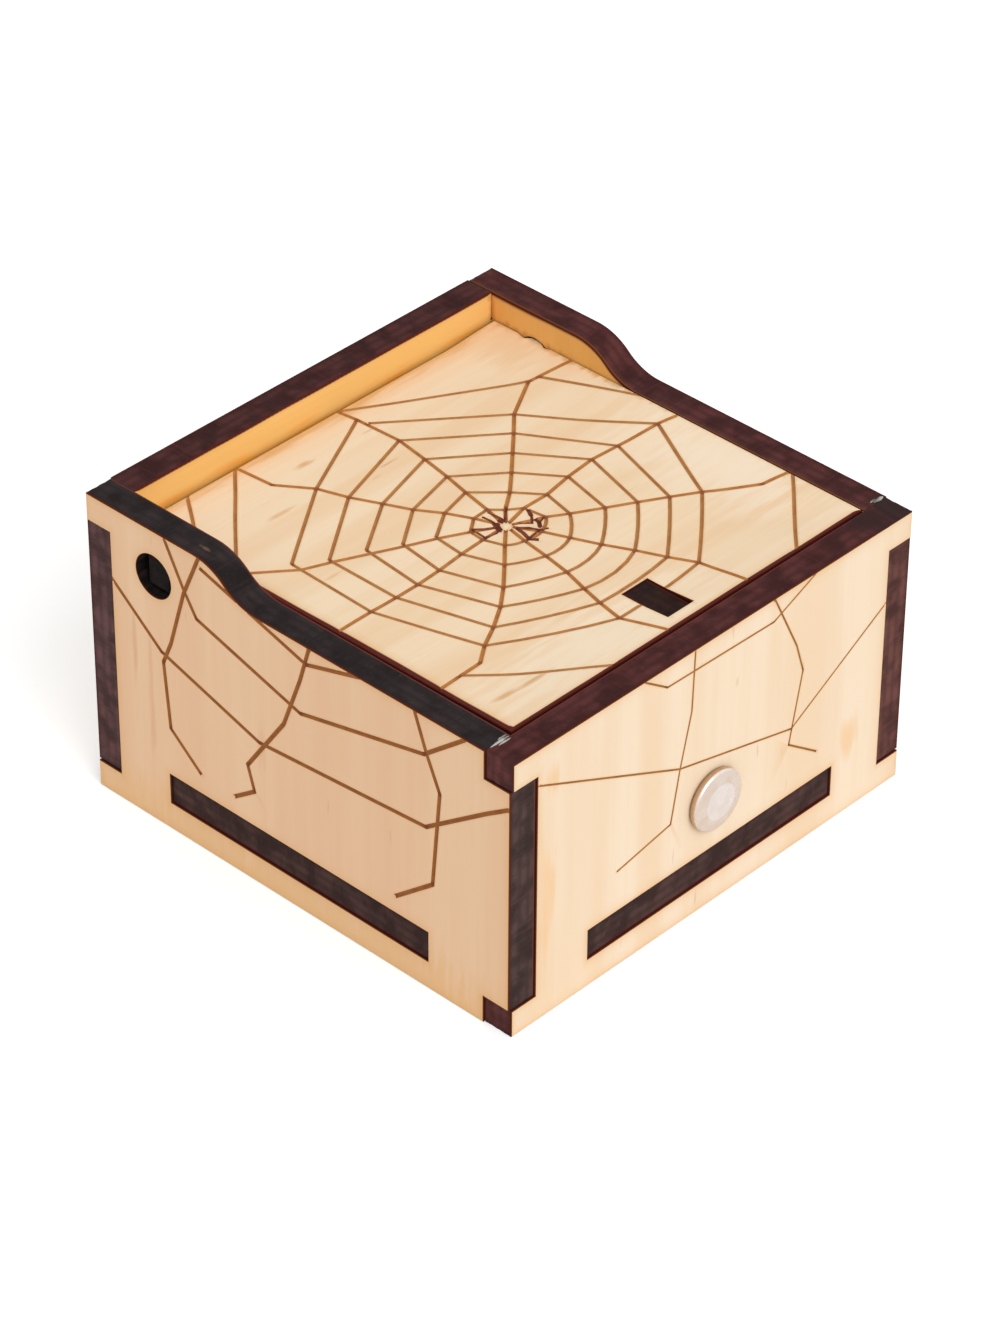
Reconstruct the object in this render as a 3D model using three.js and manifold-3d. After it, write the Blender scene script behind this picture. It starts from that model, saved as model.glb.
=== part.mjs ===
// Puzzle box of laser-cut plywood. The lid turns on two ears in round holes of the side walls. A hook under
// the lid is caught by a bolt behind the front wall, and a magnet outside drags the bolt through the wood.
// Millimetres, +Z up, the front wall faces -Y. The origin lies on the table under the middle of the outline.
import * as THREE from 'three';
import { mergeVertices } from 'three/addons/utils/BufferGeometryUtils.js';
import Module from 'manifold-3d';

const wasm = await Module();
wasm.setup();

// Box: outer width and depth, clear height under the lid, thickness of the plywood, gap at a glued cut
const boxWidth = 100;
const boxDepth = 100;
const innerHeight = 38.1;
const sheet = 6;
const cutGap = 0.1;

// Corner fingers, and the step in the side walls' top edge: its rise, its run, the level part behind it
const fingerHeight = 5.5;
const backRise = 5.6;
const stepLength = 15;
const raisedLength = 26.5;

// Bottom panel: height of its underside above the table, length of its tabs in the walls
const floorLift = 5.9;
const floorTabLength = 62;

// Lid: depth below the low wall tops, gap at the sides, gap that its ends keep from the walls as it swings
const lidSink = 0.8;
const lidSideGap = 0.4;
const swingGap = 0.5;

// Hinge: distance of its axis from the back wall, width of an ear, its recess, play in the hole
const hingeInset = 10.7;
const earWidth = 5;
const earRecess = 1;
const hingePlay = 0.3;

// Hook under the lid: offset to the right, tenon in the lid, shoulder, barb and heel
const hookOffset = 1.1;
const tenonInset = 3.9;
const tenonLength = 10;
const shoulderReach = 4;
const shoulderHeight = 1.6;
const barbHeight = 3.6;
const heelRadius = 4;
const stemGap = 1.1;

// Magnets: place of the outer one at rest, sizes of both, flat middle of the outer one's face and its fall
// from there to the rim, wood above the inner one
const keyOffset = -0.6;
const keyLift = 11.3;
const keyDiameter = 12;
const keyThickness = 2;
const keyRim = 0.6;
const keyFlat = 7.4;
const keyFall = 0.35;
const innerDiameter = 10;
const innerThickness = 3;
const innerRim = 0.3;
const innerPlay = 0.1;
const magnetWall = 2.6;

// Bolt: running gap all round, tongue over the barb, riser that carries the tongue
const slideGap = 0.2;
const tongueHeight = 4.2;
const tongueGap = 0.6;
const catchGap = 0.5;
const tongueClear = 0.6;
const tongueOver = 1.4;
const riserWidth = 8;
const riserClear = 0.5;
const boltCorner = 1.5;

// Guides beside the bolt: height of the rail above it, its grip on the bolt, width of the left stop
const railHeight = 6;
const railGrip = 12.5;
const railClear = 1.6;
const stopWidth = 5.4;
const stopGap = 0.3;

// Cover behind the bolt: distance of its tenons from the side walls
const coverTenonInset = 11;

// Ledges under the lid: height, gap below the lid, distance kept from the swinging rear edge
const restHeight = 6;
const restGap = 0.2;
const restSetback = 12;

// Facets of a quarter circle, and of a magnet's rounded rim
const quarterSteps = 8;
const rimSteps = 3;

// Faces of the walls
const sideOut = boxWidth / 2;
const sideIn = sideOut - sheet;
const frontOut = -boxDepth / 2;
const frontIn = frontOut + sheet;
const backOut = boxDepth / 2;
const backIn = backOut - sheet;

// Levels from the table up
const floorTop = floorLift + sheet;
const lidUnder = floorTop + innerHeight;
const lidTop = lidUnder + sheet;
const lowHeight = lidTop + lidSink;
const raisedHeight = lowHeight + backRise;

// Hinge axis, and how far a corner that lies below or above it may reach without touching a wall
const axisY = backIn - hingeInset;
const axisZ = lidUnder + sheet / 2;
const holeRadius = Math.hypot(earWidth / 2, sheet / 2) + hingePlay;
const swingReach = (wallDistance, depth) => Math.sqrt((wallDistance - swingGap) ** 2 - depth ** 2);

// Layers behind the front wall: guides and bolt, then the cover
const guideFront = frontIn + cutGap;
const guideBack = guideFront + sheet;
const boltFront = guideFront + slideGap;
const boltBack = guideBack - slideGap;
const coverFront = guideBack + cutGap;
const coverBack = coverFront + sheet;

// Heights of the latch, the bolt's pad from the bottom panel up, the tongue and barb from the lid down
const keyHeight = floorTop + keyLift;
const padBottom = floorTop + slideGap;
const padTop = keyHeight + innerDiameter / 2 + magnetWall;
const railBottom = padTop + slideGap;
const railTop = railBottom + railHeight;
const shoulderBottom = lidUnder - shoulderHeight;
const tongueTop = shoulderBottom - tongueGap;
const tongueBottom = tongueTop - tongueHeight;
const barbTop = tongueBottom - catchGap;
const barbBottom = barbTop - barbHeight;

// Places of the latch across the box, with the bolt drawn back
const hookLeft = hookOffset - sheet / 2;
const hookRight = hookOffset + sheet / 2;
const boltTravel = sheet + tongueClear + tongueOver;
const tongueTip = hookLeft - tongueClear;
const riserRight = hookLeft - boltTravel - riserClear;
const riserLeft = riserRight - riserWidth;
const leftStop = -sideIn + stopWidth;
const padLeft = leftStop + stopGap;
const rightRailLeft = hookRight + tongueOver + railClear;
const padRight = rightRailLeft + railGrip;
const rightStop = padRight + boltTravel + stopGap;

const birch = { front: '#f0dcb6', side: '#e6c6a0', back: '#e2bd8c', lid: '#ecd2ab', inner: '#dfbb8a' };
const nickel = '#c8c4bb';

const plywood = (colour) => new THREE.MeshStandardMaterial({ color: colour, roughness: 0.75, metalness: 0 });
const plated = () => new THREE.MeshStandardMaterial({ color: nickel, roughness: 0.25, metalness: 1 });

const quarter = Math.PI / 2;
const box = new THREE.Group();

// Outline drawn from its corners
function outline(corners) {
  return new THREE.Shape(corners.map(([u, v]) => new THREE.Vector2(u, v)));
}

// Rectangle between two corners
function rectangle(left, bottom, right, top) {
  return outline([[left, bottom], [right, bottom], [right, top], [left, top]]);
}

// Full circle
function circle(u, v, radius) {
  return new THREE.Shape().absarc(u, v, radius, 0, 4 * quarter);
}

// Points of an arc without its first one, so that it can follow a straight edge
function arc(u, v, radius, from, to, steps = quarterSteps) {
  const clockwise = to < from;
  const curve = new THREE.EllipseCurve(u, v, radius, radius, from, to, clockwise);
  return curve.getPoints(steps).slice(1).map((point) => [point.x, point.y]);
}

// Solid of a shape, from one level up to another
function pushed(shape, from, to) {
  const settings = { depth: to - from, bevelEnabled: false, curveSegments: 2 * quarterSteps };
  const geometry = new THREE.ExtrudeGeometry(shape, settings).translate(0, 0, from);
  geometry.deleteAttribute('normal');
  geometry.deleteAttribute('uv');
  const merged = mergeVertices(geometry);
  const vertProperties = merged.attributes.position.array;
  const triVerts = Uint32Array.from(merged.index.array);
  return new wasm.Manifold(new wasm.Mesh({ numProp: 3, vertProperties, triVerts }));
}

// Sheet piece: shapes joined into one outline, and cut-outs through the whole thickness
function cutPiece(name, joined, cutOuts, thickness, material) {
  let solid = pushed(joined[0], 0, thickness);
  for (const shape of joined.slice(1)) {
    solid = solid.add(pushed(shape, 0, thickness));
  }
  for (const shape of cutOuts) {
    solid = solid.subtract(pushed(shape, -sheet, thickness + sheet));
  }
  const { vertProperties, triVerts } = solid.getMesh();
  const geometry = new THREE.BufferGeometry();
  geometry.setAttribute('position', new THREE.BufferAttribute(vertProperties, 3));
  geometry.setIndex(new THREE.BufferAttribute(triVerts, 1));
  geometry.computeVertexNormals();
  const piece = new THREE.Mesh(geometry, material);
  piece.name = name;
  box.add(piece);
  return piece;
}

// Stands a piece drawn in width and height parallel to the front wall, between two places in depth
function standAcross(name, joined, cutOuts, nearY, farY, material) {
  const piece = cutPiece(name, joined, cutOuts, farY - nearY, material);
  piece.rotation.x = quarter;
  piece.position.y = farY;
}

// Stands a piece drawn in depth and height parallel to the side walls, with its left face at a place
function standAlong(name, joined, cutOuts, leftX, material) {
  const piece = cutPiece(name, joined, cutOuts, sheet, material);
  piece.quaternion.set(0.5, 0.5, 0.5, 0.5);
  piece.position.x = leftX;
}

// Lays a piece drawn in width and depth flat, with its underside at a height
function layFlat(name, joined, cutOuts, bottomZ, material) {
  const piece = cutPiece(name, joined, cutOuts, sheet, material);
  piece.position.z = bottomZ;
}

// Disc magnet with rounded rims, its back at a place in depth and its face, drawn from the rim to the
// middle, to the front
function discMagnet(name, diameter, rimHeight, rim, face, x, backY, z) {
  const edge = diameter / 2 - rim;
  const profile = [
    [0, 0],
    [edge, 0],
    ...arc(edge, rim, rim, -quarter, 0, rimSteps),
    [diameter / 2, rimHeight - rim],
    ...arc(edge, rimHeight - rim, rim, 0, quarter, rimSteps),
    ...face,
  ].map(([radius, height]) => new THREE.Vector2(radius, height));
  const disc = new THREE.Mesh(new THREE.LatheGeometry(profile, 4 * quarterSteps), plated());
  disc.name = name;
  disc.rotation.x = 2 * quarter;
  disc.position.set(x, backY, z);
  box.add(disc);
}

// Slot in a wall for a tab of the bottom panel
function floorSlot() {
  const half = floorTabLength / 2 + cutGap;
  return rectangle(-half, floorLift - cutGap, half, floorTop + cutGap);
}

// Front wall: fingers at the top and bottom of both ends, the side walls' tabs between them
const fingerEnd = sideIn - cutGap;
const frontNotches = [
  rectangle(-sideOut, fingerHeight, -fingerEnd, lowHeight - fingerHeight),
  rectangle(fingerEnd, fingerHeight, sideOut, lowHeight - fingerHeight),
];
const frontFace = rectangle(-sideOut, 0, sideOut, lowHeight);
const frontCuts = [floorSlot(), ...frontNotches];
standAcross('front_wall', [frontFace], frontCuts, frontOut, frontIn, plywood(birch.front));

// Back wall: a wide tab at each side between the side walls' fingers
const backTabBottom = fingerHeight + cutGap;
const backTabTop = raisedHeight - fingerHeight - cutGap;
const backFace = rectangle(-fingerEnd, 0, fingerEnd, raisedHeight);
const backTabs = rectangle(-sideOut, backTabBottom, sideOut, backTabTop);
standAcross('back_wall', [backFace, backTabs], [floorSlot()], backIn, backOut, plywood(birch.back));

// Side walls: a tab through the front wall, fingers behind the back wall, and a top edge that steps down
// from the raised rear to the low front in two equal arcs
const stepTop = backOut - raisedLength;
const stepFoot = stepTop - stepLength;
const stepRadius = (stepLength ** 2 + backRise ** 2) / (4 * backRise);
const stepTurn = Math.asin(stepLength / 2 / stepRadius);
const sideFace = outline([
  [frontOut, 0],
  [backOut, 0],
  [backOut, raisedHeight],
  [stepTop, raisedHeight],
  ...arc(stepTop, raisedHeight - stepRadius, stepRadius, quarter, quarter + stepTurn),
  ...arc(stepFoot, lowHeight + stepRadius, stepRadius, stepTurn - quarter, -quarter),
  [frontOut, lowHeight],
]);
const sideFront = frontIn + cutGap;
const sideCuts = [
  floorSlot(),
  circle(axisY, axisZ, holeRadius),
  rectangle(frontOut, 0, sideFront, fingerHeight + cutGap),
  rectangle(frontOut, lowHeight - fingerHeight - cutGap, sideFront, lowHeight),
  rectangle(backIn - cutGap, fingerHeight, backOut, raisedHeight - fingerHeight),
];
standAlong('left_wall', [sideFace], sideCuts, -sideOut, plywood(birch.side));
standAlong('right_wall', [sideFace], sideCuts, sideIn, plywood(birch.side));

// Bottom panel: a tab in each wall, two mortises for the latch cover
const floorX = sideIn - cutGap;
const floorY = backIn - cutGap;
const halfTab = floorTabLength / 2;
const coverTenonX = sideIn - coverTenonInset;
const tenonLeft = coverTenonX - tenonLength / 2;
const tenonRight = coverTenonX + tenonLength / 2;
const mortiseFront = coverFront - cutGap;
const mortiseBack = coverBack + cutGap;
const coverMortises = [
  rectangle(-tenonRight - cutGap, mortiseFront, cutGap - tenonLeft, mortiseBack),
  rectangle(tenonLeft - cutGap, mortiseFront, tenonRight + cutGap, mortiseBack),
];
const floorShapes = [
  rectangle(-floorX, -floorY, floorX, floorY),
  rectangle(-halfTab, frontOut, halfTab, backOut),
  rectangle(-sideOut, -halfTab, sideOut, halfTab),
];
layFlat('bottom_panel', floorShapes, coverMortises, floorLift, plywood(birch.inner));

// Lid: its front and rear edges clear the walls as they swing, its ears reach into the hinge holes
const lidSide = sideIn - lidSideGap;
const lidFront = axisY - swingReach(axisY - frontIn, sheet / 2);
const lidBack = axisY + swingReach(hingeInset, sheet / 2);
const earEnd = sideOut - earRecess;
const tenonFront = frontIn + tenonInset;
const tenonBack = tenonFront + tenonLength;
const lidShapes = [
  rectangle(-lidSide, lidFront, lidSide, lidBack),
  rectangle(-earEnd, axisY - earWidth / 2, earEnd, axisY + earWidth / 2),
];
const hookMortise = rectangle(hookLeft - cutGap, tenonFront - cutGap, hookRight + cutGap, tenonBack + cutGap);
layFlat('lid_panel', lidShapes, [hookMortise], lidUnder, plywood(birch.lid));

// Hook: tenon flush with the top of the lid, shoulder under it, stem behind the bolt, barb under the tongue
const stemFront = boltBack + stemGap;
const stemBack = tenonBack + shoulderReach;
const shoulderFront = tenonFront - shoulderReach / 2;
const shoulderTop = lidUnder - cutGap;
const barbTip = axisY - swingReach(axisY - frontIn, axisZ - barbBottom);
const hookBody = outline([
  [barbTip, barbBottom],
  [stemBack - heelRadius, barbBottom],
  ...arc(stemBack - heelRadius, barbBottom + heelRadius, heelRadius, -quarter, 0),
  [stemBack, shoulderTop],
  [shoulderFront, shoulderTop],
  [shoulderFront, shoulderBottom],
  [stemFront, shoulderBottom],
  [stemFront, barbTop],
  [barbTip, barbTop],
]);
const hookTenon = rectangle(tenonFront, shoulderBottom, tenonBack, lidTop);
standAlong('lid_hook', [hookBody, hookTenon], [], hookLeft, plywood(birch.inner));

// Bolt: a pad that carries the inner magnet, and a riser with the tongue that slides over the barb
const pad = rectangle(padLeft, padBottom, padRight, padTop);
const tongue = outline([
  [riserLeft, keyHeight],
  [riserRight, keyHeight],
  [riserRight, tongueBottom],
  [tongueTip - boltCorner, tongueBottom],
  ...arc(tongueTip - boltCorner, tongueBottom + boltCorner, boltCorner, -quarter, 0),
  [tongueTip, tongueTop],
  [riserLeft + boltCorner, tongueTop],
  ...arc(riserLeft + boltCorner, tongueTop - boltCorner, boltCorner, quarter, 2 * quarter),
]);
const magnetBore = circle(keyOffset, keyHeight, innerDiameter / 2 + innerPlay);
standAcross('latch_bolt', [pad, tongue], [magnetBore], boltFront, boltBack, plywood(birch.inner));
const innerBack = boltFront + innerThickness;
const innerFace = [[0, innerThickness]];
discMagnet('inner_magnet', innerDiameter, innerThickness, innerRim, innerFace, keyOffset, innerBack, keyHeight);

// Guides: a stop at each end of the bolt's travel and a rail over the pad
const guideBottom = floorTop + cutGap;
const guideEnd = sideIn - cutGap;
const leftGuide = [
  rectangle(-guideEnd, guideBottom, leftStop, railTop),
  rectangle(-guideEnd, railBottom, riserLeft - riserClear, railTop),
];
const rightGuide = [
  rectangle(rightStop, guideBottom, guideEnd, railTop),
  rectangle(rightRailLeft, railBottom, guideEnd, railTop),
];
standAcross('left_guide', leftGuide, [], guideFront, guideBack, plywood(birch.inner));
standAcross('right_guide', rightGuide, [], guideFront, guideBack, plywood(birch.inner));

// Cover behind the bolt, with two tenons through the bottom panel
const cover = [
  rectangle(-guideEnd, guideBottom, guideEnd, padTop),
  rectangle(-tenonRight, floorLift, -tenonLeft, padTop),
  rectangle(tenonLeft, floorLift, tenonRight, padTop),
];
standAcross('latch_cover', cover, [], coverFront, coverBack, plywood(birch.inner));

// Ledges on the side walls that carry the closed lid, short of the swing of its rear edge
const restTop = lidUnder - restGap;
const restBack = axisY - hingeInset - restSetback;
const rest = rectangle(coverBack + cutGap, restTop - restHeight, restBack, restTop);
standAlong('left_lid_rest', [rest], [], cutGap - sideIn, plywood(birch.inner));
standAlong('right_lid_rest', [rest], [], sideIn - cutGap - sheet, plywood(birch.inner));

// Magnet held on the front wall by the one inside, its face falling from a flat middle to the rim
const keyBack = frontOut - cutGap;
const keyFace = [[keyFlat / 2, keyThickness], [0, keyThickness]];
discMagnet('key_magnet', keyDiameter, keyThickness - keyFall, keyRim, keyFace, keyOffset, keyBack, keyHeight);

// The magnet stands proud of the front wall, so the middle of the outline lies that much nearer the front
box.position.y = (keyThickness + cutGap) / 2;

export default box;
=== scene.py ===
import math

import bpy
import numpy as np
from mathutils import Euler, Matrix, Vector
from mathutils.geometry import delaunay_2d_cdt
from mathutils.kdtree import KDTree


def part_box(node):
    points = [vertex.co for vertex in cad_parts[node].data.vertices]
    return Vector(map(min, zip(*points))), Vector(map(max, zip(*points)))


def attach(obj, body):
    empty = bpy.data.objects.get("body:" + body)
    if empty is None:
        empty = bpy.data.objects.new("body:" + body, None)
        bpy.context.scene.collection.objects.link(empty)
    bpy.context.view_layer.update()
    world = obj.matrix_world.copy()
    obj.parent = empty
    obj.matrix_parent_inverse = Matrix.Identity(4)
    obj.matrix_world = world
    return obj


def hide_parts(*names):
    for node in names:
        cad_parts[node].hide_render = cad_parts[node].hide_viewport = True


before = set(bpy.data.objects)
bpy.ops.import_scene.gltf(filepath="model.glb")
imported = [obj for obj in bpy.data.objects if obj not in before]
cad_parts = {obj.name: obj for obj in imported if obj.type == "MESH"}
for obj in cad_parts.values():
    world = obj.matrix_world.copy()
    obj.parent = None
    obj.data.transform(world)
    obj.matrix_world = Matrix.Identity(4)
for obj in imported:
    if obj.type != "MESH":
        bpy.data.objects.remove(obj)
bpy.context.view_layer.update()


# Bottom panel: a square of 6 mm birch plywood, cut by laser, lying a little above the table. Its long tabs
# are glued into slots of the four walls and end just short of their outer faces. The laser chars each cut
# face almost black and leaves the veneer beside it honey-coloured.

ALONG_X, ALONG_Y, ALONG_Z = 0, 1, 2
box_low = Vector(np.min([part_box(wall)[0] for wall in ("left_wall", "front_wall")], axis=0))
box_high = Vector(np.max([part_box(wall)[1] for wall in ("right_wall", "back_wall")], axis=0))
outer_bevel = 0.15
inner_bevel = 0.04
tab_recess = 0.4
burn_depth = 0.05
ply_step = 0.03
curve_facet = 2.5
soft_turn = math.radians(30)
straight_turn = math.radians(0.3)
ring_reaches = (0.25, 0.7, 1.5, 3.0)
line_step = 0.5
line_clear = 0.12
guard_gap = 0.35
guard_tip = 0.7
guard_clear = 0.2
groove_fade = 0.5
scorch_level = 0.4
scorch_fade = 0.25
dwell_reach = 0.7


def packed_outline(node, across):
    """Closed outlines of a sheet piece in mm, wood on their left, and the levels of its two faces."""
    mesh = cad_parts[node].data
    spots = np.array([vertex.co for vertex in mesh.vertices]) * 1000
    corners, index = np.unique(spots.round(3), axis=0, return_inverse=True)
    index = index.ravel()
    low = corners[:, across].min()
    high = corners[:, across].max()
    flat = np.delete(corners, across, axis=1)
    edges = {}
    for face in mesh.polygons:
        ring = [int(index[vertex]) for vertex in face.vertices]
        if max(abs(corners[spot, across] - high) for spot in ring) > 0.01:
            continue
        for start, end in zip(ring, ring[1:] + ring[:1]):
            if edges.get(end) and start in edges[end]:
                edges[end].remove(start)
            else:
                edges.setdefault(start, []).append(end)
    loops = []
    for first in sorted(edges):
        while edges[first]:
            loop = [first]
            spot = edges[first].pop()
            while spot != first:
                loop.append(spot)
                spot = edges[spot].pop()
            loops.append(flat[loop])
    areas = [signed_area(loop) for loop in loops]
    outer = int(np.argmax(np.abs(areas)))
    for number, area in enumerate(areas):
        if (area > 0) != (number == outer):
            loops[number] = loops[number][::-1]
    loops.insert(0, loops.pop(outer))
    return loops, low, high


def recessed(loops, flat_axes):
    """Outlines whose tab ends stay a little short of the outer faces of the box."""
    for place, axis in enumerate(flat_axes[:2]):
        if axis == ALONG_Z:
            continue
        for face, way in ((box_low[axis] * 1000, 1), (box_high[axis] * 1000, -1)):
            for loop in loops:
                loop[abs(loop[:, place] - face) < 0.05, place] += way * tab_recess
    return loops


def signed_area(loop):
    """Area inside an outline, positive where it runs against the clock."""
    after = np.roll(loop, -1, axis=0)
    return (loop[:, 0] * after[:, 1] - after[:, 0] * loop[:, 1]).sum() / 2


def headings(loop):
    """Direction and length of each edge of an outline."""
    ahead = np.roll(loop, -1, axis=0) - loop
    length = np.hypot(ahead[:, 0], ahead[:, 1])
    return ahead / length[:, None], length


def turns(heading):
    """Angle between the edges that meet at each point."""
    before = np.roll(heading, 1, axis=0)
    return np.arccos(np.clip((before * heading).sum(axis=1), -1, 1))


def eased_outline(loop, step):
    """Outline with its straight edges divided into steps and its curves' facets bent into arcs."""
    loop = loop[turns(headings(loop)[0]) > straight_turn]
    heading, length = headings(loop)
    turn = turns(heading)
    eased = []
    for spot in range(len(loop)):
        after = (spot + 1) % len(loop)
        leave = heading[spot]
        arrive = heading[spot]
        if length[spot] < curve_facet:
            if turn[spot] < soft_turn:
                straight = length[spot - 1] > curve_facet
                leave = heading[spot - 1] if straight else heading[spot - 1] + heading[spot]
            if turn[after] < soft_turn:
                straight = length[after] > curve_facet
                arrive = heading[after] if straight else heading[spot] + heading[after]
        leave = leave / np.hypot(*leave) * length[spot]
        arrive = arrive / np.hypot(*arrive) * length[spot]
        pieces = max(1, round(length[spot] / step))
        for part in range(pieces):
            t = part / pieces
            eased.append(
                (2 * t**3 - 3 * t**2 + 1) * loop[spot]
                + (t**3 - 2 * t**2 + t) * leave
                + (3 * t**2 - 2 * t**3) * loop[after]
                + (t**3 - t**2) * arrive
            )
    return np.array(eased)


def inward(loop):
    """For each point of an outline, the move that takes its edges 1 mm into the wood."""
    heading = headings(loop)[0]
    left = np.stack([-heading[:, 1], heading[:, 0]], axis=1)
    before = np.roll(left, 1, axis=0)
    return (left + before) / (1 + (left * before).sum(axis=1))[:, None]


def nearest(points, starts, ends):
    """Distance in mm from each point to the nearest of many short lines, and the way there."""
    tree = KDTree(len(starts))
    for number, middle in enumerate((starts + ends) / 2):
        tree.insert((*middle, 0), number)
    tree.balance()
    few = min(5, len(starts))
    close = np.array([[hit[1] for hit in tree.find_n((*point, 0), few)] for point in points])
    run = (ends - starts)[close]
    gap = points[:, None, :] - starts[close]
    along_line = np.clip((gap * run).sum(axis=2) / (run**2).sum(axis=2), 0, 1)
    away = gap - along_line[:, :, None] * run
    length = np.sqrt((away**2).sum(axis=2))
    best = length.argmin(axis=1)
    every = np.arange(len(points))
    return length[every, best], -away[every, best]


def in_wood(points, starts, ends):
    """Whether each point lies inside the outlines and outside the holes."""
    rise = ends[:, 1] - starts[:, 1]
    slope = (ends[:, 0] - starts[:, 0]) / np.where(rise == 0, 1, rise)
    found = np.empty(len(points), bool)
    batch = 1500
    for first in range(0, len(points), batch):
        x = points[first:first + batch, 0, None]
        y = points[first:first + batch, 1, None]
        spans = (starts[:, 1] > y) != (ends[:, 1] > y)
        crossed = spans & (x < starts[:, 0] + (y - starts[:, 1]) * slope)
        found[first:first + batch] = crossed.sum(axis=1) % 2 == 1
    return found


def divided(line, step):
    """Open line with points a step apart, and the sideways direction at each."""
    line = np.array(line, float)
    spots = [line[:1]]
    for start, end in zip(line[:-1], line[1:]):
        pieces = max(1, round(np.hypot(*(end - start)) / step))
        spots.append(start + (end - start) * (np.arange(1, pieces + 1) / pieces)[:, None])
    path = np.concatenate(spots)
    heading = np.diff(path, axis=0)
    heading /= np.hypot(heading[:, 0], heading[:, 1])[:, None]
    left = np.stack([-heading[:, 1], heading[:, 0]], axis=1)
    before = np.concatenate([left[:1], left])
    after = np.concatenate([left, left[-1:]])
    side = (before + after) / np.maximum(1 + (before * after).sum(axis=1), 0.5)[:, None]
    return path, side


def cut_short(path, cut):
    """Open line cut a little short at both ends."""
    short = path.copy()
    for tip, before in ((0, 1), (-1, -2)):
        run = path[before] - path[tip]
        short[tip] += run * min(0.8, cut / np.hypot(*run))
    return short


def sharp_bends(line):
    """Ends and sharp bends of an open line, where the beam lingers."""
    line = np.array(line, float)
    heading = np.diff(line, axis=0)
    heading /= np.hypot(heading[:, 0], heading[:, 1])[:, None]
    bent = (heading[:-1] * heading[1:]).sum(axis=1) < math.cos(0.3)
    return line[np.concatenate([[True], bent, [True]])]


def line_pieces(paths):
    """Starts and ends of the short pieces of many open lines."""
    return np.concatenate([path[:-1] for path in paths]), np.concatenate([path[1:] for path in paths])


compass = np.array([(math.cos(turn * math.pi / 4), math.sin(turn * math.pi / 4)) for turn in range(8)])


def veneer_face(rims, grooves, smoke):
    """One face with its engraved lines: points, depths, scorch, dwell, triangles, finishes, rim."""
    starts = np.concatenate(rims)
    ends = np.concatenate([np.roll(rim, -1, axis=0) for rim in rims])
    spots = [starts]
    joins = []
    count = 0
    for rim in rims:
        order = count + np.arange(len(rim))
        joins += zip(order.tolist(), np.roll(order, -1).tolist())
        count += len(rim)

    def clear(points, margin):
        return in_wood(points, starts, ends) & (nearest(points, starts, ends)[0] > margin)

    for reach in ring_reaches:
        for rim in rims:
            ring = (rim + reach * inward(rim))[::2]
            ring = ring[clear(ring, 0.8 * reach)]
            spots.append(ring)
            count += len(ring)
    tied = []
    for number, (lines, width, _) in enumerate(grooves):
        half = width / 2
        for line in lines:
            path, side = divided(line, line_step)
            tied.append((number, path))
            tips = []
            for offset in (-half, 0, half):
                row = path + offset * side
                kept = np.flatnonzero(clear(row, line_clear))
                joins += [
                    (count + place, count + place + 1)
                    for place in np.flatnonzero(np.diff(kept) == 1).tolist()
                ]
                if len(kept):
                    tips.append((kept[0], count, kept[-1], count + len(kept) - 1))
                spots.append(row[kept])
                count += len(kept)
            for one, other in zip(tips, tips[1:]):
                if one[0] == 0 and other[0] == 0:
                    joins.append((one[1], other[1]))
                if one[2] == len(path) - 1 and other[2] == len(path) - 1:
                    joins.append((one[3], other[3]))
            guards = [(path + offset * side)[::2] for offset in (-half - guard_gap, half + guard_gap)]
            for tip in (path[0], path[-1]):
                guards.append(tip + (half + guard_tip) * compass)
            for row in guards:
                row = row[clear(row, guard_clear)]
                spots.append(row)
                count += len(row)
    given = [Vector(spot) for spot in np.concatenate(spots)]
    made = delaunay_2d_cdt(given, joins, [], 0, 1e-4, True)
    points = np.array([spot[:] for spot in made[0]])
    triangles = np.array([face[:] for face in made[2]])
    rim_index = np.full(len(starts), -1)
    for place, sources in enumerate(made[3]):
        for source in sources:
            if source < len(starts):
                rim_index[source] = place
    middles = points[triangles].mean(axis=1)
    kept = in_wood(middles, starts, ends)
    triangles = triangles[kept]
    middles = middles[kept]
    away = nearest(points, starts, ends)[0]
    away[rim_index] = 0
    outer = len(rims[0])
    from_edge, toward = nearest(points, starts[:outer], ends[:outer])
    toward[rim_index[:outer]] = -inward(rims[0])
    *drift, spread = smoke
    drifted = np.clip(toward @ np.array(drift) / np.maximum(np.hypot(*toward.T), 0.01), 0, None)
    sunk = np.zeros(len(points))
    dwell = np.zeros(len(points))
    scorch = scorch_level * np.exp(-away / spread)
    scorch = np.maximum(scorch, (drifted > 0.05) * np.exp(-from_edge / (spread + drifted)))
    finish = np.full(len(triangles), -1)
    for number, (lines, width, depth) in enumerate(grooves):
        paths = [path for owner, path in tied if owner == number]
        gap = nearest(points, *line_pieces(paths))[0] / (width / 2)
        sunk = np.maximum(sunk, depth * np.clip(1 - gap, 0, 1) * np.clip(away / groove_fade, 0, 1))
        beside = np.maximum(gap - 1, 0) * width / 2
        scorch = np.maximum(scorch, scorch_level * np.exp(-beside / scorch_fade))
        paths = [cut_short(path, 0.4 * width) for path in paths]
        finish[nearest(middles, *line_pieces(paths))[0] < 0.49 * width] = number
        knots = np.concatenate([sharp_bends(line) for line in lines])
        knot_gap = np.hypot(*(points[:, None, :] - knots).transpose(2, 0, 1)).min(axis=1)
        dwell = np.maximum(dwell, np.exp(-((knot_gap / dwell_reach) ** 2)))
    return points, sunk, scorch, dwell, triangles, finish, rim_index


# smoke on the outside and the inside: its drift along the face's two axes, and its spread in mm
plain_smoke = ((0, 0, 0.45), (0, 0, 0.45))


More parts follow.
